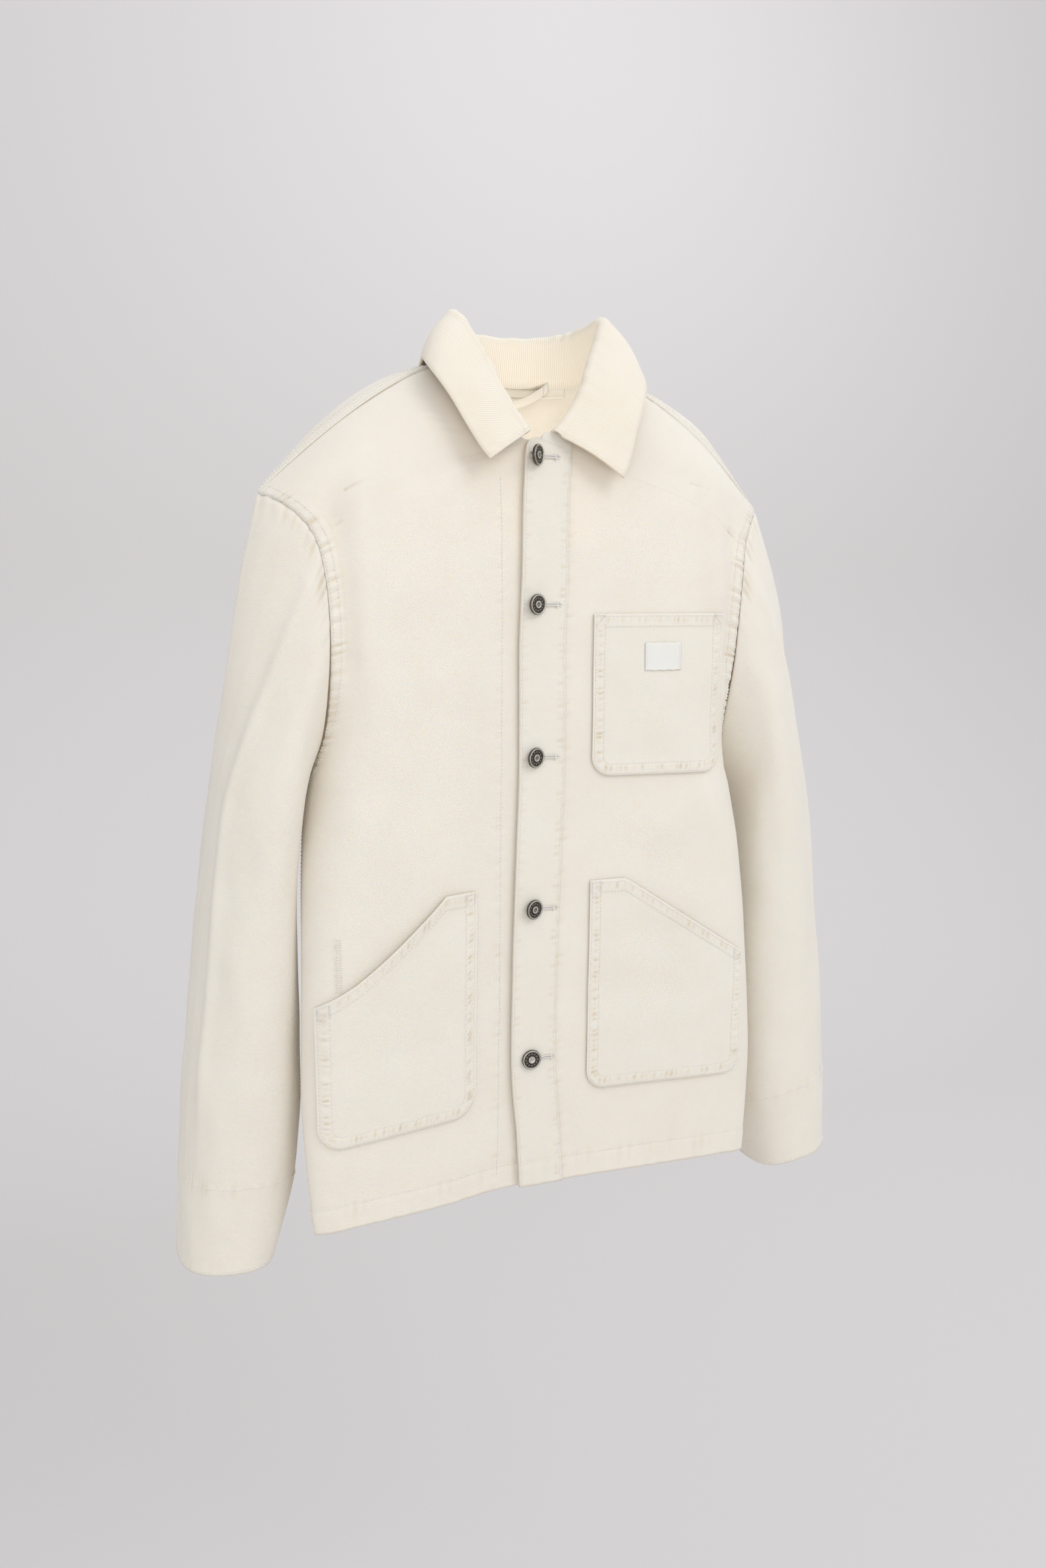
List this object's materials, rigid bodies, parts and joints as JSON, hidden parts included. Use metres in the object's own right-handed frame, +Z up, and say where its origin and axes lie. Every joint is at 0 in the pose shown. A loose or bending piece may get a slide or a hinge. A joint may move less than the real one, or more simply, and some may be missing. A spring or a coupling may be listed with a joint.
{
  "type": "chore jacket",
  "caption": "Hip-length chore jacket with a ribbed fold-down collar, patch pockets and metal shank buttons, buttoned up and filled out as worn, with no wearer.",
  "frame": {"origin": "between the shoulders, on the wearer's middle, level with the points where the shoulder seams meet the collar", "axes": "+Z up, from hem to collar; the wearer faces -Y, so +X is to the wearer's left"},
  "size_m": [0.6475, 0.1821, 0.8083],
  "materials": {
    "twill": "matte cotton twill, undyed cream",
    "cord": "matte fine ribbed cord",
    "label": "smooth woven tape",
    "metal": "antiqued nickel, worn bright on the rims"
  },
  "bodies": {
    "root": {"front_right": "twill", "front_left": "twill", "back": "twill", "sleeve_right": "twill", "sleeve_left": "twill", "collar": "cord", "placket": "twill", "chest_pocket": "twill", "pocket_right": "twill", "pocket_left": "twill", "label": "label", "button_1": "metal", "button_2": "metal", "button_3": "metal", "button_4": "metal", "button_5": "metal", "hanger_loop": "twill"}
  },
  "joints": []
}
